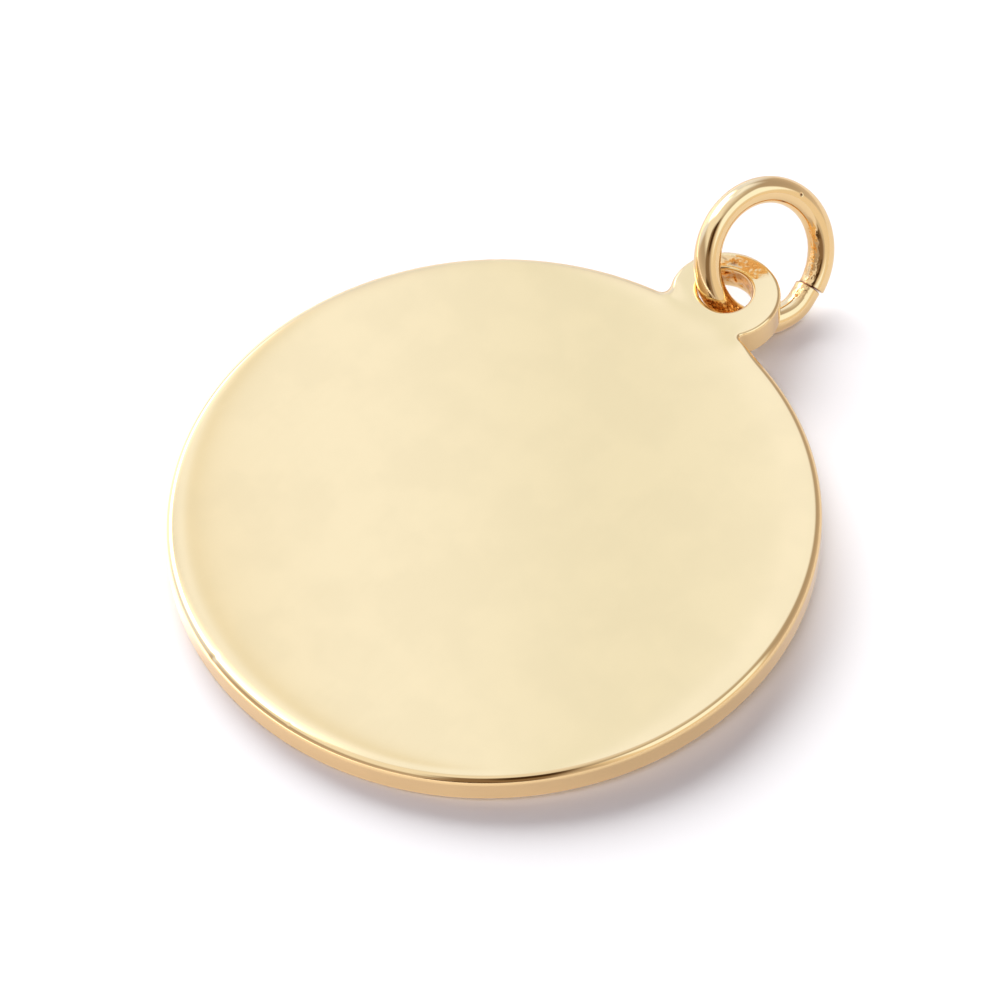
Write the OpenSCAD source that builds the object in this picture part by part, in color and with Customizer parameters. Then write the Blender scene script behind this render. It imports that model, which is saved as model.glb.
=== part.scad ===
// Medallion pendant: a plain round blank cast in one piece with its ear, and an open jump ring
// through the ear. It lies as a loose pendant lies: the ear rides up on the ring that passes under it.
// Millimetres, +Z up from the table, +Y from the blank to its ear, origin at the bottom centre.

/* [Medallion] */
// Diameter of the round blank
blank_d = 24; // [22:0.5:28]
// Thickness of the blank and its ear
plate_t = 1.3; // [1:0.1:1.6]
// Radius of the rounded outer edges
edge_r = 0.3; // [0.15:0.05:0.4]

/* [Ear] */
// Outer diameter of the ear
ear_d = 4.2; // [3.8:0.1:4.4]
// Distance from the rim of the blank out to the middle of the ear
ear_reach = 1.2; // [1:0.1:1.5]
// Diameter of the hole in the ear
hole_d = 2.16; // [2:0.02:2.4]
// Place of the hole off the middle of the ear, sideways and outwards
hole_x = -0.14; // [-0.2:0.01:0.2]
hole_y = 0.11; // [-0.2:0.01:0.2]
// Radius of the rounded upper mouth of the hole
mouth_r = 0.15; // [0.1:0.05:0.3]
// Radius of its lower mouth, which the ring has worn wide
under_mouth_r = 0.4; // [0.3:0.05:0.5]

/* [Jump ring] */
// Diameter of the round wire
wire_d = 1.02; // [0.8:0.02:1.1]
// Diameter of the eye inside the ring
eye_d = 4.08; // [3.8:0.02:4.6]
// Place of the gap between the ring's two ends, as an angle round the ring from its far side
cut_at = 305.3; // [290:0.1:320]
// Width of that gap at the middle of the wire
cut_gap = 0.11; // [0.1:0.01:0.4]
// Slant of the upper end, which opens the gap towards the outside
cut_slant = 4; // [0:0.5:5]

/* [How it lies] */
// Tilt of the medallion, from where its rim touches the table up to the ear
plate_lift = 3; // [2:0.1:4]
// Turn of that tilt away from the ear, towards where the ring meets the table
lift_turn = -5.2; // [-10:0.1:10]
// Angle between the plane of the ring and the table
ring_lean = 58.5; // [50:0.5:65]
// Turn of the ring about the upright, from +X
ring_turn = 76.5; // [70:0.5:85]
// Sideways place of the middle of the ring
ring_x = -0.05; // [-0.3:0.01:0.3]
// Distance from the middle of the blank to the middle of the ring
ring_y = 15.5; // [15.2:0.05:15.8]
// Distance from the middle of the blank to the origin
origin_y = 3.24; // [2:0.01:4]

/* [Hidden] */
$fn = 96;

blank_r = blank_d / 2;
ear_y = blank_r + ear_reach;
ring_r = (eye_d + wire_d) / 2;
// Heights at which the rim of the blank and the lowest wire of the ring touch the table
plate_z = (blank_r - edge_r) * sin(plate_lift) + edge_r * (1 - cos(plate_lift));
ring_z = ring_r * sin(ring_lean) + wire_d / 2;

// Half of the section of a round plate, with both outer corners rounded
module plate_section(r) {
    square([r - edge_r, plate_t]);
    translate([0, edge_r]) square([r, plate_t - 2 * edge_r]);
    for (z = [edge_r, plate_t - edge_r]) translate([r - edge_r, z]) circle(edge_r);
}

module round_plate(d) rotate_extrude() plate_section(d / 2);

// Half of the section of the hole, with its lower and its upper mouth flared by a quarter round
module hole_section() {
    wall = hole_d / 2;
    translate([0, -1]) square([wall, plate_t + 2]);
    difference() {
        translate([0, -1]) square([wall + under_mouth_r, under_mouth_r + 1]);
        translate([wall + under_mouth_r, under_mouth_r]) circle(under_mouth_r);
    }
    difference() {
        translate([0, plate_t - mouth_r]) square([wall + mouth_r, mouth_r + 1]);
        translate([wall + mouth_r, plate_t - mouth_r]) circle(mouth_r);
    }
}

module ear_hole() translate([hole_x, hole_y, 0]) rotate_extrude() hole_section();

// Puts a shape where the ear is: the ear is turned off the Y axis, which the plate tilts along
module at_ear() rotate([0, 0, -lift_turn]) translate([0, ear_y, 0]) children();

// Blank and ear as cast, lying flat with the middle of the blank at the origin
module cast_plate() {
    difference() {
        union() {
            round_plate(blank_d);
            at_ear() round_plate(ear_d);
        }
        at_ear() ear_hole();
    }
}

// The space between the two ends: its lower side is square to the wire, its upper side slants
module cut() {
    reach = 0.75 * wire_d;
    rise = reach * tan(cut_slant);
    rotate([0, 0, cut_at]) linear_extrude(height = 2 * wire_d, center = true) polygon([
        [ring_r - reach, -cut_gap / 2],
        [ring_r + reach, -cut_gap / 2],
        [ring_r + reach, cut_gap / 2 + rise],
        [ring_r - reach, cut_gap / 2 - rise],
    ]);
}

// The open ring, flat, with its far side on +X
module open_ring() {
    difference() {
        rotate_extrude() translate([ring_r, 0]) circle(d = wire_d);
        cut();
    }
}

// Tilted first and turned after that, so that the ear comes to lie on the Y axis again
module medallion() {
    color("#f0dcae") translate([0, -origin_y, plate_z])
        rotate([plate_lift, 0, lift_turn]) cast_plate();
}

module jump_ring() {
    color("#e6c078") translate([ring_x, ring_y - origin_y, ring_z])
        rotate([ring_lean, 0, ring_turn]) open_ring();
}

medallion();
jump_ring();
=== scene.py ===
import math

import bpy
import numpy as np
from mathutils import Matrix, Vector, geometry, noise


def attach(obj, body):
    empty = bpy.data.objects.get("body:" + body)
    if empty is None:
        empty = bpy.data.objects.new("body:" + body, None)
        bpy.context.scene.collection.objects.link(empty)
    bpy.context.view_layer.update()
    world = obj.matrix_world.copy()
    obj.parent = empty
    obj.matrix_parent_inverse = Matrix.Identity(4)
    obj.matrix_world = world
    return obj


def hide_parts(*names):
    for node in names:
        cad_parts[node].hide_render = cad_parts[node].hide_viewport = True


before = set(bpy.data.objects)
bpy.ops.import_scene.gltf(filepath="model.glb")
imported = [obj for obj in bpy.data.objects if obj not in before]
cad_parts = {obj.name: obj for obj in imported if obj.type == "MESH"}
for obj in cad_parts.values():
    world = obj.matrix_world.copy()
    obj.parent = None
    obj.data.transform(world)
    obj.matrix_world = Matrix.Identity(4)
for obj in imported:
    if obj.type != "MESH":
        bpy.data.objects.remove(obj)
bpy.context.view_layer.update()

# Lengths below are in millimetres and angles in degrees, unless a name or a comment says otherwise
MM = 0.001

# Blank and ear
BLANK_R = 12.0
PLATE_T = 1.3
EAR_R = 2.1
EAR_Y = 13.2
# Its hole, a little off its middle: radius, the radii of its rounded mouths above and below, and the
# side where it is a little flattened and its upper mouth is worn wider
HOLE_R = 1.08
HOLE_AT = np.array([-0.13, 13.31])
MOUTH_R = 0.11
MOUTH_UNDER_R = 0.40
WORN_AT = -108.0
WORN_WIDTH = 38.0
WORN_FLAT = 0.15
WORN_MOUTH = 0.08
# Concave fillets where the ear leaves the rim, left and right of it
FILLET_LEFT = 0.5
FILLET_RIGHT = 0.26
# Rounding of the upper edge, on the blank, on its ear and in the corner between them that no buff
# reaches, and of the sharper lower edge
EDGE_R = 0.32
EAR_EDGE_R = 0.16
CORNER_EDGE_R = 0.12
CORNER_AT = np.array([1.80, 11.90])
CORNER_REACH = 0.8
UNDER_R = 0.15
# Where the ear's finish takes over from that of the blank, counted outwards from the rim
EAR_FROM = -0.3
EAR_OVER = 0.9
# The polished face falls off towards its rim, most where the edge was buffed hardest
FALL = 0.04
FALL_SKEW = 0.01
FALL_REACH = 0.4
EAR_FALL = 0.012
# The blank is a little thinner towards one side: mean loss of thickness, and where it is twice that
THINNER = 0.05
THINNER_AT = -49.0

# Rough cast skin: how close to the wall of the hole it counts as in the hole, its lowest and highest place
# there, the angles round the hole over which it covers the far side of the ear, and how far it stays off
# the hole and the rim on that side
SKIN_WALL = 0.07
SKIN_LOW = 0.30
SKIN_HIGH = 1.18
SKIN_FROM = 58.0
SKIN_TO = 175.0
SKIN_OFF_HOLE = 0.11
SKIN_OFF_RIM = 0.15
# Its lumps in the hole and on the far side: height, size, and a shift that makes each layer its own
CURL = 0.26
HOLE_SKIN = ((0.050, CURL, 0.0), (0.028, 0.13, 7.0))
FAR_SKIN = ((0.027, (0.42, 0.26, 0.40), 3.0), (0.008, 0.12, 11.0))
# How much of its raw colour shows on the far side, where it is partly a painted reflection of the ring,
# and how dark the painted shade in the hollows of the hole is
FAR_RAW_AND_REFLECTION = 0.5
HOLLOW_PAINTED_SHADE = 0.5

# A pit beside the hole, which also gets painted shade, and two nicks in the rim: where, how wide and how
# deep
DENTS = (
    ((-0.66, 14.58, 1.26), 0.07, 0.035),
    ((-3.27, -11.45, 1.20), 0.15, 0.020),
    ((0.82, -11.85, 1.18), 0.09, 0.015),
)

# How the plate lies
PLATE_LIFT = 3.0
LIFT_TURN = -5.2
ORIGIN_Y = 3.24
# Height of the middle of its lower face, from where its rounded lower edge touches the table
PLATE_Z = (BLANK_R - UNDER_R) * math.sin(math.radians(PLATE_LIFT))
PLATE_Z += UNDER_R * (1.0 - math.cos(math.radians(PLATE_LIFT)))

# Jump ring
WIRE_R = 0.51
RING_R = 2.55
CUT_AT = 305.3
CUT_GAP = 0.04
CUT_SLANT = 5.0
RING_LEAN = 58.5
RING_TURN = 76.5
RING_X = -0.05
RING_Y = 15.5
# The lower arm springs inwards over this many degrees before the cut, by this much at its end
SPRING_OVER = 30.0
SPRING_IN = 0.12
# Rounded corners of the upper sheared end, how much softer those of the lower one are, and how far the
# painted shade of the narrow cut reaches from it over the ends
END_ROUND = 0.04
END_SOFTER = 1.6
CUT_PAINTED_SHADE = 0.065
# The slant of the upper end fades out over about this many rows of the mesh
SLANT_ROWS = 6.0
# Marks of the pliers: angles from the cut between which they lie, place and half width round the wire,
# layers as those of the cast skin, and how much of the raw colour they show
TOOL_FROM = -24.0
TOOL_TO = 75.0
TOOL_PSI = 170.0
TOOL_HALF = 28.0
TOOL_LAYERS = ((0.016, (0.30, 0.13, 1.0), 0.0), (0.008, (0.11, 0.07, 1.0), 5.0))
TOOL_RAW = 0.4
# A pit, as angles round the ring and round the wire: its radius, its depth and the radius of the painted
# shade in it
PIT_AT = (40.8, 77.0)
PIT_R = 0.045
PIT_DEEP = 0.06
PIT_PAINTED_SHADE_R = 0.05

# Fineness of the meshes: points round outline, hole and wire, and rows along the ring
OUTLINE_POINTS = 900
HOLE_POINTS = 200
WIRE_POINTS = 72
RING_ROWS = 420
# How much denser the outline's points are round the ear, and within what distance of its middle
DENSER = 1.2
DENSER_WITHIN = 3.2
# Rows across the two faces of the cut, as shares of its radius
FACE_ROWS = (0.15, 0.4, 0.65, 0.85)
# Spacing of the points inside the upper and the lower face, the least spacing anywhere, and how far they
# stay off the rounded edges
TOP_SPACING = 0.085
UNDER_SPACING = 0.3
LEAST_SPACING = 0.042
EDGE_CLEAR = 0.035

# Gold plate: polished; raw, which on the plate is partly a painted reflection of gold on gold and of the
# ring;
# and dark, which is painted shade in pits, hollows and the cut
GOLD = (0.96, 0.71, 0.36)
RAW_AND_REFLECTION_GOLD = (0.84, 0.45, 0.15)
PAINTED_SHADE_GOLD = (0.30, 0.12, 0.045)
# Its roughness, and what hair lines, clouding and raw skin add to it
DULL = 0.065
HAIR_DULL = 0.03
CLOUD_DULL = 0.03
RAW_DULL = 0.10
# Clouding, with its change of brightness up and down, and hair lines: scales per metre, and turn
CLOUDING = 0.015
CLOUD_SCALE = 420.0
HAIR_SCALE = (9000.0, 700.0, 2000.0)
HAIR_TURN_RADIANS = 0.5

# Camera, fitted to the outlines in the photograph
CAMERA_AT = Vector((76.300, -90.365, 142.767)) * MM
CAMERA_AZIMUTH = 41.103
CAMERA_ELEVATION = 50.505
CAMERA_ROLL = 0.457
LENS = 180.0

# Brightness of the surroundings: elevation, then colour
SKY = (
    (0.0, (0.69, 0.62, 0.62)),
    (20.0, (0.51, 0.45, 0.44)),
    (35.0, (0.45, 0.40, 0.39)),
    (50.0, (0.46, 0.41, 0.40)),
    (65.0, (0.55, 0.52, 0.53)),
    (80.0, (0.78, 0.78, 0.88)),
    (90.0, (0.88, 0.91, 1.07)),
)
# A colour ramp holds values up to 1, so that these are divided by this and multiplied again
SKY_SCALE = 2.0
# Colour of the main lamp
LAMP = (4.08, 4.12, 4.51)
# Cards and lamps, each over those before it: azimuth, elevation, half width, half height, softness, colour
CARDS = (
    # ceiling over the left half
    (-120.0, 62.0, 34.0, 22.0, 9.0, (0.94, 0.98, 1.10)),
    # bright left half near the table
    (-38.0, 12.0, 46.0, 34.0, 12.0, (0.88, 1.01, 1.42)),
    # its brightest part, low beside the lamp
    (-50.0, 12.0, 13.0, 15.0, 6.0, (1.25, 1.40, 1.70)),
    # soft end of the ceiling that the face mirrors, and that ceiling
    (14.0, 56.0, 14.0, 12.0, 10.0, (0.95, 1.07, 1.38)),
    (-6.0, 62.0, 14.0, 18.0, 7.0, (1.00, 1.16, 1.55)),
    # faint dim stripes across it
    (-3.5, 54.0, 0.8, 24.0, 2.2, (0.90, 1.04, 1.31)),
    (-14.5, 54.0, 0.8, 12.0, 2.0, (0.90, 0.98, 1.14)),
    # main lamp on the left, wider below
    (-55.5, 48.0, 12.5, 18.0, 5.0, LAMP),
    (-43.0, 36.5, 17.0, 10.5, 6.0, LAMP),
    # soft light on the right, and the brighter middle of it
    (122.0, 20.0, 26.0, 28.0, 6.0, (0.86, 0.78, 0.72)),
    (117.0, 37.0, 20.0, 17.0, 4.0, (1.08, 1.24, 1.50)),
    # dark camera side, with the lens, and a dark corner low beside it
    (180.0, 30.0, 16.0, 32.0, 6.0, (0.24, 0.17, 0.12)),
    (172.0, 48.0, 8.0, 14.0, 4.0, (0.06, 0.03, 0.01)),
    (-170.0, 4.0, 11.0, 7.0, 4.0, (0.10, 0.06, 0.03)),
)
# What fills the shadows on the table, from the camera's side, given like a card
FILL_FRONT = (180.0, 60.0, 18.0, 18.0, 6.0, (3.80, 3.52, 3.62))
# What the metal throws onto the table close by
BOUNCE = (0.34, 0.16, 0.12)
# Lamp that casts the shadows
KEY_AZIMUTH = -14.0
KEY_ELEVATION = 20.0
KEY_WIDTH = 70.0
KEY_STRENGTH = 7.2
# Table: its radius, how white it is, and how white it shows in the metal, where it glows as well
TABLE_R = 600.0
TABLE = 0.88
TABLE_IN_METAL = 0.36
# Strength of that glow right and left of the middle and in a strip beyond the left rim, and its colour
GLOW_RIGHT = 0.40
GLOW_LEFT = 0.54
GLOW_STRIP = 2.0
GLOW_COLOUR = (1.0, 0.90, 0.94)
# Where it changes, as distances to the camera's right: from right to left, into the strip and out of it
GLOW_MIDDLE = (5.0, -5.0)
STRIP_STARTS = (-12.5, -15.0)
STRIP_ENDS = (-32.0, -24.0)


def unit(v):
    """Rows of v at length one."""
    return v / np.linalg.norm(v, axis=-1, keepdims=True)


def turn(axis, degrees):
    """A rotation about X, Y or Z as a 3 x 3 array."""
    return np.array(Matrix.Rotation(math.radians(degrees), 3, axis))


def smooth(t):
    """Smooth step from 0 to 1."""
    t = np.clip(t, 0.0, 1.0)
    return t * t * (3.0 - 2.0 * t)


def circle(radius, angles):
    """Points round the origin, at angles in radians."""
    return radius * np.stack([np.cos(angles), np.sin(angles)], axis=1)


def all_round(count):
    """Evenly spaced angles of a whole turn, in radians."""
    return np.arange(count) / count * 2.0 * math.pi


def arc(start, end, count):
    """Sine and cosine of evenly spaced angles."""
    angles = np.radians(np.linspace(start, end, count))
    return list(zip(np.sin(angles), np.cos(angles)))


# Plate: everything is worked out in its own flat frame, with the ear on +Y, and tilted at the end
def depth(p):
    """How far a point of the flat plate lies inside the outline of blank and ear with their fillets."""
    blank = np.hypot(p[:, 0], p[:, 1]) - BLANK_R
    ear = np.hypot(p[:, 0], p[:, 1] - EAR_Y) - EAR_R
    side = smooth((p[:, 0] + 1.0) / 2.0)
    fillet = FILLET_LEFT + (FILLET_RIGHT - FILLET_LEFT) * side
    near_both = np.hypot(np.maximum(fillet - blank, 0.0), np.maximum(fillet - ear, 0.0))
    return near_both - np.maximum(fillet, np.minimum(blank, ear))


def slope(field, p, step=1e-4):
    """Gradient of a field over rows of points, by central differences."""
    parts = []
    for axis in range(p.shape[1]):
        d = np.zeros(p.shape[1])
        d[axis] = step
        parts.append((field(p + d) - field(p - d)) / (2.0 * step))
    return np.stack(parts, axis=1)


def at_depth(p, target):
    """Moves points to where the depth has the wanted value."""
    for _ in range(8):
        g = slope(depth, p)
        p = p - ((depth(p) - target) / (g**2).sum(1))[:, None] * g
    return p


def on_ear(p):
    """0 on the blank, 1 on the ear."""
    return smooth((p[:, 1] - BLANK_R - EAR_FROM) / EAR_OVER)


def in_corner(p):
    """1 in the corner between ear and blank, 0 away from it."""
    return np.exp(-((p - CORNER_AT) ** 2).sum(1) / CORNER_REACH**2)


def edge_radius(p):
    """Radius of the upper edge near a point."""
    radius = EDGE_R + (EAR_EDGE_R - EDGE_R) * on_ear(p)
    return radius + (CORNER_EDGE_R - radius) * in_corner(p)


def fall(p):
    """Drop of the upper face where the rounding of its edge begins."""
    skew = np.cos(np.arctan2(p[:, 1], p[:, 0]) - math.radians(THINNER_AT))
    drop = (FALL + FALL_SKEW * skew) * (1.0 - on_ear(p)) + EAR_FALL * on_ear(p)
    return drop * (1.0 - in_corner(p))


def thickness(p):
    """Thickness of the plate before its face falls off."""
    side = math.radians(THINNER_AT)
    share = (p[:, 0] * math.cos(side) + p[:, 1] * math.sin(side)) / BLANK_R
    return PLATE_T - THINNER * (1.0 + np.maximum(share, -1.0))


def edge_start(p):
    """Lean of the face and its depth inside the outline where the rounding of the edge takes over."""
    lean = np.arctan(fall(p) / FALL_REACH)
    return lean, edge_radius(p) * (1.0 - np.sin(lean))


def face_height(p):
    """Height of the upper face over the flat plate."""
    inside = np.maximum(depth(p) - edge_start(p)[1], 0.0)
    return thickness(p) - fall(p) * np.exp(-inside / FALL_REACH)


def under_height(p):
    """Height of the lower face, which is flat."""
    return np.zeros(len(p))


def worn(angle):
    """1 on the worn side of the hole, 0 on the other."""
    off = (angle - math.radians(WORN_AT) + math.pi) % (2.0 * math.pi) - math.pi
    return np.exp(-((off / math.radians(WORN_WIDTH)) ** 2))


def hole_radius(angle):
    """Radius of the straight part of the hole."""
    return HOLE_R - WORN_FLAT * worn(angle)


def mouth_radius(angle):
    """Radius of the rounding of its upper mouth."""
    return MOUTH_R + WORN_MOUTH * worn(angle)


class Sheet:
    """Collects rows of vertices with their normals and joins them to faces."""

    def __init__(self):
        self.points = []
        self.normals = []
        self.faces = []
        self.count = 0

    def add(self, points, normals):
        """Adds vertices and returns their numbers."""
        self.points.append(np.asarray(points, float))
        self.normals.append(unit(np.asarray(normals, float)))
        numbers = np.arange(self.count, self.count + len(points))
        self.count += len(points)
        return numbers

    def bridge(self, a, b):
        """Joins two closed rows of the same length with quads."""
        a2, b2 = np.roll(a, -1), np.roll(b, -1)
        self.faces += np.stack([a, a2, b2, b], axis=1).tolist()

    def fan(self, row, centre):
        """Closes a row to one point."""
        nxt = np.roll(row, -1)
        self.faces += [[int(i), int(j), int(centre)] for i, j in zip(row, nxt)]

    def arrays(self):
        """All vertices and their normals."""
        return np.concatenate(self.points), np.concatenate(self.normals)


def outline_row():
    """Points close to the outline of the plate, in order, denser round the ear."""
    # Half of the opening that the ear takes up in the circle of the blank, and a little more
    half = math.degrees(math.asin(EAR_R / EAR_Y)) + 2.5
    blank = circle(BLANK_R, np.radians(np.linspace(90.0 + half, 450.0 - half, 720)))
    ear = circle(EAR_R, np.radians(np.linspace(-25.0, 205.0, 150))) + [0.0, EAR_Y]
    # The short stretches between them run straight at first and are then moved onto the outline
    links = []
    for a, b in ((blank[-1], ear[0]), (ear[-1], blank[0])):
        t = np.linspace(0.0, 1.0, 34)[1:-1, None]
        links.append(a + (b - a) * t)
    row = at_depth(np.concatenate([blank, links[0], ear, links[1]]), 0.0)
    # Evens out the spacing along the row
    for _ in range(3):
        step = np.linalg.norm(np.roll(row, -1, axis=0) - row, axis=1)
        along = np.concatenate([[0.0], np.cumsum(step)])
        closed = np.concatenate([row, row[:1]])
        from_ear = np.linalg.norm(closed - [0.0, EAR_Y], axis=1)
        density = 1.0 + DENSER * np.exp(-((from_ear / DENSER_WITHIN) ** 4))
        weight = np.concatenate([[0.0], np.cumsum(step * (density[1:] + density[:-1]) / 2.0)])
        want = np.linspace(0.0, weight[-1], OUTLINE_POINTS, endpoint=False)
        s = np.interp(want, weight, along)
        row = np.stack([np.interp(s, along, closed[:, k]) for k in (0, 1)], axis=1)
        row = at_depth(row, 0.0)
    return row


def face_points(top):
    """Inner points of a face, in rings whose spacing grows away from the rims."""
    rings = []
    spacing = TOP_SPACING if top else UNDER_SPACING
    # The blank's rings lie close together at the rim and grow apart up to the widest gap
    inset, gap = UNDER_R + 0.05, 0.05
    growth, widest = 1.22, 0.7
    while inset < BLANK_R - 0.4:
        r = BLANK_R - inset
        n = max(12, int(2.0 * math.pi * r / max(gap * 1.3, spacing)))
        rings.append(circle(r, all_round(n) + inset))
        gap = min(gap * growth, widest)
        inset += gap
    rings.append(np.zeros((1, 2)))
    # The ear has rings of its own round the hole, which reach a little way into the blank
    for r in np.arange(HOLE_R + 0.18, EAR_R + 0.7, 0.07):
        n = int(2.0 * math.pi * r / TOP_SPACING)
        ring = circle(r, all_round(n) + r) + HOLE_AT
        rings.append(ring[ring[:, 1] > BLANK_R - 0.75])
    p = np.concatenate(rings)
    off = p - HOLE_AT
    angle = np.arctan2(off[:, 1], off[:, 0])
    mouth = mouth_radius(angle) if top else MOUTH_UNDER_R
    from_hole = np.hypot(*off.T) - hole_radius(angle) - mouth
    edge = edge_start(p)[1] if top else UNDER_R
    keep = (depth(p) > edge + EDGE_CLEAR) & (from_hole > EDGE_CLEAR)
    return thin_out(p[keep], LEAST_SPACING)


def inside(p, polygon):
    """Whether points lie inside a closed row."""
    x, y = p[:, 0:1], p[:, 1:2]
    a, b = polygon, np.roll(polygon, -1, axis=0)
    crosses = (a[:, 1] > y) != (b[:, 1] > y)
    rise = np.where(a[:, 1] == b[:, 1], 1.0, b[:, 1] - a[:, 1])
    at = a[:, 0] + (y - a[:, 1]) * (b[:, 0] - a[:, 0]) / rise
    return (crosses & (x < at)).sum(1) % 2 == 1


def thin_out(p, gap):
    """Drops points that lie closer than gap to an earlier one."""
    cells = {}
    kept = []
    for i, (x, y) in enumerate(p):
        key = (int(x // gap), int(y // gap))
        close = False
        for kx in (-1, 0, 1):
            for ky in (-1, 0, 1):
                for j in cells.get((key[0] + kx, key[1] + ky), ()):
                    if (p[j, 0] - x) ** 2 + (p[j, 1] - y) ** 2 < gap * gap:
                        close = True
        if not close:
            cells.setdefault(key, []).append(i)
            kept.append(i)
    return p[kept]


def fill_face(sheet, outer, hole, inner_points, height_of, up):
    """Fills the flat ring between two closed rows with triangles; outer and hole are (numbers, points)."""
    flat = np.concatenate([outer[1], hole[1], inner_points])
    n_outer, n_hole = len(outer[1]), len(hole[1])
    edges = [(i, (i + 1) % n_outer) for i in range(n_outer)]
    edges += [(n_outer + i, n_outer + (i + 1) % n_hole) for i in range(n_hole)]
    made = geometry.delaunay_2d_cdt([Vector(q) for q in flat], edges, [], 0, 1e-7)
    verts, tris, origins = made[0], made[2], made[3]
    g = slope(height_of, inner_points)
    z = height_of(inner_points)
    new = sheet.add(
        np.column_stack([inner_points, z]),
        np.column_stack([-g * up, np.full(len(z), up)]),
    )
    numbers = np.concatenate([outer[0], hole[0], new])
    xy = np.array([tuple(v) for v in verts])
    tris = np.array(tris)
    middle = xy[tris].mean(1)
    for tri in tris[inside(middle, outer[1]) & ~inside(middle, hole[1])]:
        face = [int(numbers[origins[i][0]]) for i in tri]
        sheet.faces.append(face if up > 0 else face[::-1])


def plate_sheet():
    """The whole surface of blank and ear, flat, with its normals."""
    sheet = Sheet()
    rim = outline_row()
    out = -unit(slope(depth, rim))
    lean, _ = edge_start(rim)
    radius = edge_radius(rim)

    def ring_at(inset, z, angle):
        """One row round the outline: inset from it, height, and the lean of the normal from +Z."""
        p = at_depth(rim - out * np.reshape(inset, (-1, 1)), inset)
        sideways = out * np.reshape(np.sin(angle), (-1, 1))
        n = np.column_stack([sideways, np.cos(angle) * np.ones(len(out))])
        return p, sheet.add(np.column_stack([p, z * np.ones(len(p))]), n)

    top_centre = thickness(rim) - fall(rim) - radius * np.cos(lean)
    quarter = math.pi / 2.0
    rows = []
    for t in np.linspace(0.0, 1.0, 20):
        angle = lean + (quarter - lean) * t
        rows.append(ring_at(radius * (1.0 - np.sin(angle)), top_centre + radius * np.cos(angle), angle))
    for t in np.linspace(0.0, 1.0, 9)[1:-1]:
        rows.append(ring_at(0.0, top_centre * (1.0 - t) + UNDER_R * t, quarter))
    for angle in np.linspace(quarter, 2.0 * quarter, 10):
        rows.append(ring_at(UNDER_R * (1.0 - math.sin(angle)), UNDER_R * (1.0 + math.cos(angle)), angle))
    for upper, lower in zip(rows, rows[1:]):
        sheet.bridge(lower[1], upper[1])

    # Hole: a flared mouth above and below a straight wall
    angles = all_round(HOLE_POINTS)
    spoke = circle(1.0, angles)
    radius, mouth = hole_radius(angles), mouth_radius(angles)
    swell = (hole_radius(angles + 1e-3) - hole_radius(angles - 1e-3)) / 2e-3 / radius
    inward = -unit(spoke - swell[:, None] * np.stack([-spoke[:, 1], spoke[:, 0]], axis=1))
    z_top = face_height((radius + mouth)[:, None] * spoke + HOLE_AT)
    hole_rows = []

    def hole_ring(reach, z, up):
        """One row round the hole: reach from its middle, height, and the height part of the normal."""
        p = reach[:, None] * spoke + HOLE_AT
        n = np.column_stack([inward * math.sqrt(max(1.0 - up * up, 0.0)), np.full(len(p), up)])
        hole_rows.append((p, sheet.add(np.column_stack([p, z]), n)))

    for s, c in arc(0.0, 90.0, 11):
        hole_ring(radius + mouth * (1.0 - s), z_top - mouth * (1.0 - c), c)
    for t in np.linspace(0.0, 1.0, 22)[1:-1]:
        hole_ring(radius, (z_top - mouth) * (1.0 - t) + MOUTH_UNDER_R * t, 0.0)
    for s, c in arc(90.0, 0.0, 13):
        z = np.full(len(spoke), MOUTH_UNDER_R * (1.0 - c))
        hole_ring(radius + MOUTH_UNDER_R * (1.0 - s), z, -c)
    for upper, lower in zip(hole_rows, hole_rows[1:]):
        sheet.bridge(upper[1], lower[1])

    fill_face(sheet, rows[0][::-1], hole_rows[0][::-1], face_points(True), face_height, 1.0)
    fill_face(sheet, rows[-1][::-1], hole_rows[-1][::-1], face_points(False), under_height, -1.0)
    return sheet


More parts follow.
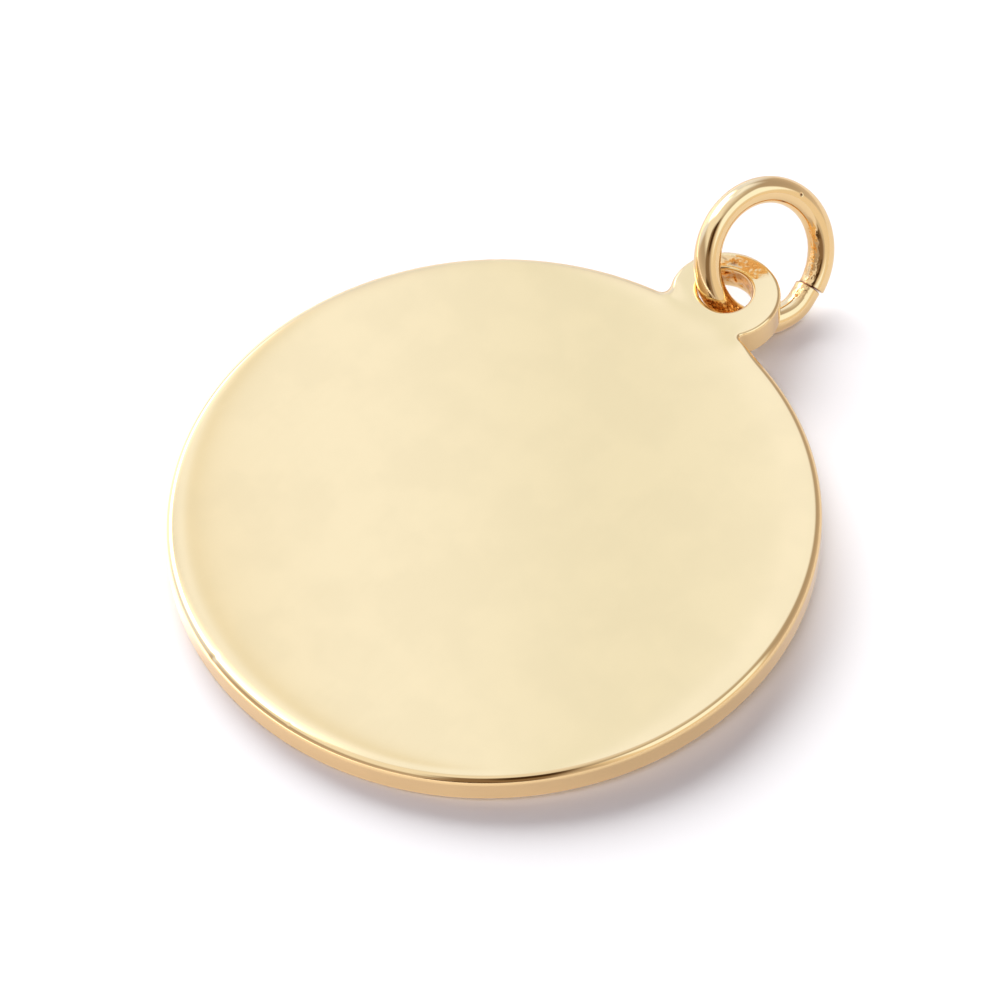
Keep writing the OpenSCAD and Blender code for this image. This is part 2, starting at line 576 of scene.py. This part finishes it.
def ring_sheet():
    """The whole surface of the open ring, flat, with its far side on +X."""
    sheet = Sheet()
    psi = all_round(WIRE_POINTS)
    set_back = math.degrees((CUT_GAP / 2.0 + END_ROUND) / RING_R)
    first, last = CUT_AT + set_back, CUT_AT + 360.0 - set_back
    turns = np.linspace(first, last, RING_ROWS)

    def radius_at(angle):
        """Mean radius of the ring: the end of the lower arm springs inwards."""
        return RING_R - SPRING_IN * smooth((angle - (last - SPRING_OVER)) / SPRING_OVER) ** 1.5

    def section(angle, wire, shift, lean):
        """One round of the wire; shift moves it along the ring, lean is the slant of that move."""
        a = np.radians(angle)
        e = np.array([math.cos(a), math.sin(a), 0.0])
        t = np.array([-math.sin(a), math.cos(a), 0.0])
        offset = wire * np.cos(psi)
        p = (radius_at(angle) + offset)[:, None] * e + (wire * np.sin(psi))[:, None] * [0.0, 0.0, 1.0]
        p = p + (shift + offset * lean)[:, None] * t
        n = np.cos(psi)[:, None] * e + np.sin(psi)[:, None] * [0.0, 0.0, 1.0]
        return p, n, t

    rows = []
    slant = math.tan(math.radians(CUT_SLANT))
    # Upper end, from the middle of its cut face out over the rounded corner
    for share in FACE_ROWS:
        p, _, t = section(first, (WIRE_R - END_ROUND) * share, -END_ROUND, slant)
        rows.append(sheet.add(p, np.tile(-t, (WIRE_POINTS, 1))))
    for s, c in arc(90.0, 0.0, 7):
        p, n, t = section(first, WIRE_R - END_ROUND * (1.0 - c), -END_ROUND * s, slant)
        rows.append(sheet.add(p, n * c - t * s))
    for i, angle in enumerate(turns[1:-1]):
        p, n, _ = section(angle, WIRE_R, 0.0, slant * math.exp(-(i + 1) / SLANT_ROWS))
        rows.append(sheet.add(p, n))
    # Lower end, with a softer corner
    soft_end = END_ROUND * END_SOFTER
    for s, c in arc(0.0, 90.0, 8):
        p, n, t = section(last, WIRE_R - soft_end * (1.0 - c), END_ROUND * s, 0.0)
        rows.append(sheet.add(p, n * c + t * s))
    for share in FACE_ROWS[::-1]:
        p, _, t = section(last, (WIRE_R - soft_end) * share, END_ROUND, 0.0)
        rows.append(sheet.add(p, np.tile(t, (WIRE_POINTS, 1))))
    for a, b in zip(rows, rows[1:]):
        sheet.bridge(b, a)
    # A point closes each end
    for row, angle, sign in ((rows[0], first, -1.0), (rows[-1][::-1], last, 1.0)):
        p, _, t = section(angle, 0.0, sign * END_ROUND, 0.0)
        sheet.fan(row, sheet.add(p[:1], (sign * t)[None, :])[0])
    return sheet


def ring_place(p):
    """Angle round the ring and angle round the wire, in degrees, of points of the flat ring."""
    angle = np.degrees(np.arctan2(p[:, 1], p[:, 0]))
    psi = np.degrees(np.arctan2(p[:, 2], np.hypot(p[:, 0], p[:, 1]) - RING_R))
    return angle % 360.0, psi % 360.0


def past_cut(angle):
    """Angle counted from the cut, from -180 to 180 degrees."""
    return (angle - CUT_AT + 180.0) % 360.0 - 180.0


def on_ring(angle, psi):
    """A point of the flat ring's surface."""
    a, b = math.radians(angle), math.radians(psi)
    reach = RING_R + WIRE_R * math.cos(b)
    return (reach * math.cos(a), reach * math.sin(a), WIRE_R * math.sin(b))


def lumps(p, size):
    """Smooth noise from -1 to 1 over rows of points; size is that of one lump, along each axis."""
    return np.array([noise.noise(Vector(q)) for q in p / np.array(size)])


def rough(p, layers):
    """Sum of layers of lumps, each given as its height, its size and its shift."""
    return sum(height * lumps(p + shift, size) for height, size, shift in layers)


def spot(p, centre, radius):
    """A soft round spot: 1 at its centre, 0 from about twice its radius on."""
    return np.exp(-((p - np.array(centre)) ** 2).sum(1) / radius**2)


def cast_skin(p):
    """How much of the rough cast skin is left at points of the flat plate: in the hole, and round it."""
    from_hole = p[:, :2] - HOLE_AT
    away = np.hypot(*from_hole.T)
    around = np.degrees(np.arctan2(from_hole[:, 1], from_hole[:, 0]))
    # Each divisor is the width over which the skin fades out on that side
    in_hole = smooth((HOLE_R + SKIN_WALL - away) / 0.06)
    in_hole *= smooth((SKIN_HIGH - p[:, 2]) / 0.12) * smooth((p[:, 2] - SKIN_LOW) / 0.2)
    far_side = smooth((around - SKIN_FROM) / 10.0) * smooth((SKIN_TO - around) / 14.0)
    far_side *= smooth((away - HOLE_R - SKIN_OFF_HOLE) / 0.10)
    far_side *= smooth((depth(p[:, :2]) - SKIN_OFF_RIM) / 0.12)
    far_side *= p[:, 2] > PLATE_T / 2.0
    return in_hole, far_side


def plate_marks(p):
    """Raw skin of the plate, partly a painted reflection, and painted shade in its hollows and a pit, for
    its material.
    """
    in_hole, far_side = cast_skin(p)
    # The raw colour, which in the hole is partly a painted reflection of gold on gold, is stronger towards
    # the upper mouth of the hole
    in_hole = in_hole * (0.35 + 0.65 * smooth((p[:, 2] - 0.45) / 0.4))
    # Painted shade in the hollows of the hole, which lie where its larger lumps dip
    hollow_shade = smooth(0.5 - 2.0 * lumps(p, CURL))
    place, width, _ = DENTS[0]
    # The raw colour is partly a painted reflection; the dark share is painted shade in the hollows and the
    # pit
    return {
        "raw_and_reflection": np.maximum(in_hole, FAR_RAW_AND_REFLECTION * far_side),
        "painted_shade": np.maximum(HOLLOW_PAINTED_SHADE * in_hole * hollow_shade, spot(p, place, 1.5 * width)),
    }


def plate_relief(p):
    """Cast skin where no buff reaches, and small dents."""
    in_hole, far_side = cast_skin(p)
    height = np.zeros(len(p))
    skin = np.maximum(in_hole, far_side) > 0.001
    height[skin] += in_hole[skin] * rough(p[skin], HOLE_SKIN)
    height[skin] += far_side[skin] * rough(p[skin], FAR_SKIN)
    for place, radius, deep in DENTS:
        height -= deep * spot(p, place, radius)
    return height


def tool_marks(p):
    """How strongly the pliers marked the flat ring, on its inner side near the cut."""
    angle, psi = ring_place(p)
    from_cut = past_cut(angle)
    marked = smooth((from_cut - TOOL_FROM) / 10.0) * smooth((TOOL_TO - from_cut) / 25.0)
    return marked * smooth(1.0 - (np.abs(psi - TOOL_PSI) - TOOL_HALF) / 30.0)


def ring_relief(p):
    """Marks of the pliers, and one small pit."""
    angle, psi = ring_place(p)
    marked = tool_marks(p)
    height = np.zeros(len(p))
    gripped = marked > 0.001
    unrolled = np.column_stack([np.radians(angle) * RING_R, np.radians(psi) * WIRE_R, 0.0 * angle])
    height[gripped] += marked[gripped] * rough(unrolled[gripped], TOOL_LAYERS)
    return height - PIT_DEEP * spot(p, on_ring(*PIT_AT), PIT_R)


def ring_marks(p):
    """Tool marks of the ring, and the painted shade on it: in the pit and on the ends of the wire at the
    cut.
    """
    angle, _ = ring_place(p)
    from_cut = np.radians(np.abs(past_cut(angle))) * np.hypot(p[:, 0], p[:, 1])
    # Painted shade on the ends of the wire at the narrow cut and in the pit
    cut_shade = smooth((CUT_PAINTED_SHADE - from_cut) / 0.035)
    pit_shade = spot(p, on_ring(*PIT_AT), PIT_PAINTED_SHADE_R)
    return {"raw_and_reflection": TOOL_RAW * tool_marks(p), "painted_shade": np.maximum(cut_shade, pit_shade)}


def emboss(sheet, relief):
    """Moves the vertices of a sheet along their normals by a field, and turns the normals to match."""
    p, n = sheet.arrays()
    g = slope(relief, p, 1e-3)
    along = g - (g * n).sum(1)[:, None] * n
    return p + relief(p)[:, None] * n, unit(n - along)


def make_piece(name, sheet, relief, marks, turned, moved, material, node):
    """Turns the sheet into a mesh in the row frame that stands for a node."""
    shares = marks(sheet.arrays()[0])
    p, n = emboss(sheet, relief)
    p = (p @ turned.T + moved) * MM
    n = n @ turned.T
    mesh = bpy.data.meshes.new(name)
    mesh.from_pydata(p.tolist(), [], sheet.faces)
    mesh.validate()
    for mark, share in shares.items():
        mesh.attributes.new(mark, "FLOAT", "POINT").data.foreach_set("value", share)
    mesh.polygons.foreach_set("use_smooth", [True] * len(mesh.polygons))
    mesh.normals_split_custom_set_from_vertices(n.tolist())
    mesh.materials.append(material)
    piece = bpy.data.objects.new(name, mesh)
    bpy.context.scene.collection.objects.link(piece)
    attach(piece, "root")
    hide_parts(node)


class Nodes:
    """Short calls for shader nodes."""

    def __init__(self, tree):
        self.tree = tree

    def put(self, socket, value):
        """Links another node's output to an input, or sets the input to a plain value."""
        if isinstance(value, bpy.types.NodeSocket):
            self.tree.links.new(value, socket)
        else:
            socket.default_value = value

    def of_two(self, kind, operation, a, b):
        """One value worked out from two."""
        node = self.tree.nodes.new(kind)
        node.operation = operation
        self.put(node.inputs[0], a)
        self.put(node.inputs[1], b)
        return node.outputs["Value"]

    def maths(self, operation, a, b=0.0):
        return self.of_two("ShaderNodeMath", operation, a, b)

    def dot(self, a, b):
        return self.of_two("ShaderNodeVectorMath", "DOT_PRODUCT", a, b)

    def step(self, value, start, end):
        """Smooth step from 0 at the start to 1 at the end."""
        node = self.tree.nodes.new("ShaderNodeMapRange")
        node.interpolation_type = "SMOOTHSTEP"
        self.put(node.inputs["Value"], value)
        node.inputs["From Min"].default_value = start
        node.inputs["From Max"].default_value = end
        return node.outputs["Result"]

    def mix(self, share, a, b):
        """Colour a where the share is 0, b where it is 1."""
        node = self.tree.nodes.new("ShaderNodeMix")
        node.data_type = "RGBA"
        self.put(node.inputs["Factor"], share)
        self.put(node.inputs["A"], a if isinstance(a, bpy.types.NodeSocket) else (*a, 1.0))
        self.put(node.inputs["B"], b if isinstance(b, bpy.types.NodeSocket) else (*b, 1.0))
        return node.outputs["Result"]

    def own_place(self):
        """Place in the object's own metres."""
        return self.tree.nodes.new("ShaderNodeTexCoord").outputs["Object"]

    def attribute(self, name):
        node = self.tree.nodes.new("ShaderNodeAttribute")
        node.attribute_name = name
        return node.outputs["Fac"]

    def noise(self, place, scale, detail):
        node = self.tree.nodes.new("ShaderNodeTexNoise")
        self.put(node.inputs["Vector"], place)
        node.inputs["Scale"].default_value = scale
        node.inputs["Detail"].default_value = detail
        return node.outputs["Fac"]

    def stretch(self, place, scale, angle):
        node = self.tree.nodes.new("ShaderNodeMapping")
        self.put(node.inputs["Vector"], place)
        node.inputs["Scale"].default_value = scale
        node.inputs["Rotation"].default_value = (0.0, 0.0, angle)
        return node.outputs["Vector"]

    def window(self, direction, azimuth, elevation, half_width, half_height, softness):
        """1 inside a soft-edged rectangle seen in one direction, 0 outside; sizes in degrees."""
        forward = toward(azimuth, elevation)
        side = toward(azimuth + 90.0, 0.0)
        up = side.cross(forward)
        ahead = self.dot(direction, forward)
        shares = [self.step(ahead, 0.0, 0.05)]
        for axis, half in ((side, half_width), (up, half_height)):
            off = self.maths("ABSOLUTE", self.maths("DIVIDE", self.dot(direction, axis), ahead))
            inner = math.tan(math.radians(max(half - softness, 0.0)))
            outer = math.tan(math.radians(half + softness))
            shares.append(self.step(off, outer, inner))
        return self.maths("MULTIPLY", self.maths("MULTIPLY", shares[0], shares[1]), shares[2])


def gold(name):
    """Polished gold plate with faint clouding and hair lines; where it is raw, which on the plate is
    partly a painted reflection, it is deeper and duller, and where shade is painted it is dark.
    """
    material = bpy.data.materials.new(name)
    material.use_nodes = True
    kit = Nodes(material.node_tree)
    shader = material.node_tree.nodes["Principled BSDF"]
    shader.inputs["Metallic"].default_value = 1.0
    place = kit.own_place()
    raw_and_reflection = kit.attribute("raw_and_reflection")
    painted_shade = kit.attribute("painted_shade")
    cloud = kit.noise(place, CLOUD_SCALE, 3.0)
    hair = kit.noise(kit.stretch(place, HAIR_SCALE, HAIR_TURN_RADIANS), 1.0, 2.0)
    light = [c * (1.0 + CLOUDING) for c in GOLD]
    base = kit.mix(kit.step(cloud, 0.35, 0.65), light, [c * (1.0 - CLOUDING) for c in GOLD])
    # Raw colour, on the plate partly a painted reflection, then dark painted shade in hollows, pits and
    # the cut
    base = kit.mix(painted_shade, kit.mix(raw_and_reflection, base, RAW_AND_REFLECTION_GOLD), PAINTED_SHADE_GOLD)
    material.node_tree.links.new(base, shader.inputs["Base Color"])
    dull = kit.maths("ADD", kit.maths("MULTIPLY", kit.step(hair, 0.5, 0.8), HAIR_DULL), DULL)
    dull = kit.maths("ADD", dull, kit.maths("MULTIPLY", cloud, CLOUD_DULL))
    dull = kit.maths("ADD", dull, kit.maths("MULTIPLY", raw_and_reflection, RAW_DULL))
    material.node_tree.links.new(dull, shader.inputs["Roughness"])
    return material


def toward(azimuth, elevation):
    """A direction, with its azimuth counted from the line away from the camera, positive to the right."""
    a = math.radians(CAMERA_AZIMUTH)
    away = Vector((-math.sin(a), math.cos(a), 0.0))
    right = Vector((math.cos(a), math.sin(a), 0.0))
    az, el = math.radians(azimuth), math.radians(elevation)
    return (away * math.cos(az) + right * math.sin(az)) * math.cos(el) + Vector((0.0, 0.0, math.sin(el)))


def build_world():
    """Studio surroundings as a function of direction alone."""
    world = bpy.data.worlds.new("studio")
    bpy.context.scene.world = world
    world.use_nodes = True
    tree = world.node_tree
    tree.nodes.clear()
    kit = Nodes(tree)
    direction = tree.nodes.new("ShaderNodeTexCoord").outputs["Generated"]
    height = kit.dot(direction, Vector((0.0, 0.0, 1.0)))
    ramp = tree.nodes.new("ShaderNodeValToRGB")
    stops = ramp.color_ramp.elements
    while len(stops) < len(SKY):
        stops.new(1.0)
    for stop, (elevation, colour) in zip(stops, SKY):
        stop.position = math.sin(math.radians(elevation))
        stop.color = (*[c / SKY_SCALE for c in colour], 1.0)
    tree.links.new(height, ramp.inputs["Fac"])
    scaled = tree.nodes.new("ShaderNodeVectorMath")
    scaled.operation = "SCALE"
    scaled.inputs["Scale"].default_value = SKY_SCALE
    tree.links.new(ramp.outputs["Color"], scaled.inputs[0])
    colour = scaled.outputs[0]
    for *window, card in CARDS:
        colour = kit.mix(kit.window(direction, *window), colour, card)
    # Rays from the table see the fill, or the bounce once a glossy ray took them on; the camera sees white
    path = tree.nodes.new("ShaderNodeLightPath")
    *window, fill = FILL_FRONT
    fill = kit.mix(kit.window(direction, *window), (0.0, 0.0, 0.0), fill)
    fill = kit.mix(path.outputs["Is Glossy Ray"], fill, BOUNCE)
    from_table = kit.maths("GREATER_THAN", path.outputs["Diffuse Depth"], 0.5)
    colour = kit.mix(from_table, colour, fill)
    colour = kit.mix(path.outputs["Is Camera Ray"], colour, (1.0, 1.0, 1.0))
    lit = tree.nodes.new("ShaderNodeBackground")
    tree.links.new(colour, lit.inputs["Color"])
    out = tree.nodes.new("ShaderNodeOutputWorld")
    tree.links.new(lit.outputs[0], out.inputs["Surface"])


def build_key():
    """Soft lamp that casts the shadow; what shines in the metal is part of the surroundings."""
    data = bpy.data.lights.new("key", "SUN")
    data.energy = KEY_STRENGTH
    data.angle = math.radians(KEY_WIDTH)
    lamp = bpy.data.objects.new("key", data)
    lamp.rotation_euler = toward(KEY_AZIMUTH, KEY_ELEVATION).to_track_quat("Z", "Y").to_euler()
    lamp.visible_glossy = False
    bpy.context.scene.collection.objects.link(lamp)


def build_floor():
    """White table top under the pendant."""
    bpy.ops.mesh.primitive_circle_add(
        vertices=128, radius=TABLE_R * MM, fill_type="NGON", location=(0.0, 0.0, 0.0)
    )
    floor = bpy.context.object
    floor.name = "table"
    material = bpy.data.materials.new("white_table")
    material.use_nodes = True
    shader = material.node_tree.nodes["Principled BSDF"]
    kit = Nodes(material.node_tree)
    path = material.node_tree.nodes.new("ShaderNodeLightPath")
    shade = kit.mix(path.outputs["Is Glossy Ray"], [TABLE] * 3, [TABLE_IN_METAL] * 3)
    material.node_tree.links.new(shade, shader.inputs["Base Color"])
    shader.inputs["Emission Color"].default_value = (*GLOW_COLOUR, 1.0)
    right = kit.dot(kit.own_place(), toward(90.0, 0.0))
    changes = (GLOW_MIDDLE, STRIP_STARTS, STRIP_ENDS)
    on_left, begun, not_ended = [kit.step(right, a * MM, b * MM) for a, b in changes]
    glow = kit.maths("ADD", kit.maths("MULTIPLY", on_left, GLOW_LEFT - GLOW_RIGHT), GLOW_RIGHT)
    strip = kit.maths("MULTIPLY", begun, not_ended)
    glow = kit.maths("ADD", glow, kit.maths("MULTIPLY", strip, GLOW_STRIP - GLOW_LEFT))
    glow = kit.maths("MULTIPLY", path.outputs["Is Glossy Ray"], glow)
    material.node_tree.links.new(glow, shader.inputs["Emission Strength"])
    material.cycles.emission_sampling = "NONE"
    shader.inputs["Roughness"].default_value = 0.9
    shader.inputs["Specular IOR Level"].default_value = 0.1
    floor.data.materials.append(material)


def build_camera():
    """Camera at the photograph's viewpoint."""
    data = bpy.data.cameras.new("camera")
    data.lens = LENS
    data.sensor_width = 36.0
    data.clip_start = 0.01
    data.clip_end = 10.0
    camera = bpy.data.objects.new("camera", data)
    bpy.context.scene.collection.objects.link(camera)
    a, e = math.radians(CAMERA_AZIMUTH), math.radians(CAMERA_ELEVATION)
    back = Vector((math.sin(a) * math.cos(e), -math.cos(a) * math.cos(e), math.sin(e)))
    right = Vector((math.cos(a), math.sin(a), 0.0))
    up = back.cross(right)
    r = math.radians(CAMERA_ROLL)
    x = right * math.cos(r) + up * math.sin(r)
    y = up * math.cos(r) - right * math.sin(r)
    turned = Matrix((x, y, back)).transposed().to_4x4()
    camera.matrix_world = Matrix.Translation(CAMERA_AT) @ turned
    bpy.context.scene.camera = camera


build_camera()
build_world()
build_key()
build_floor()

plate_turned = turn("Z", LIFT_TURN) @ turn("X", PLATE_LIFT) @ turn("Z", -LIFT_TURN)
make_piece(
    "cast_medallion",
    plate_sheet(),
    plate_relief,
    plate_marks,
    plate_turned,
    np.array([0.0, -ORIGIN_Y, PLATE_Z]),
    gold("plated_cast_brass"),
    "medallion",
)
ring_z = RING_R * math.sin(math.radians(RING_LEAN)) + WIRE_R
make_piece(
    "open_ring",
    ring_sheet(),
    ring_relief,
    ring_marks,
    turn("Z", RING_TURN) @ turn("X", RING_LEAN),
    np.array([RING_X, RING_Y - ORIGIN_Y, ring_z]),
    gold("plated_wire"),
    "jump_ring",
)

bpy.context.scene.view_settings.view_transform = "Standard"
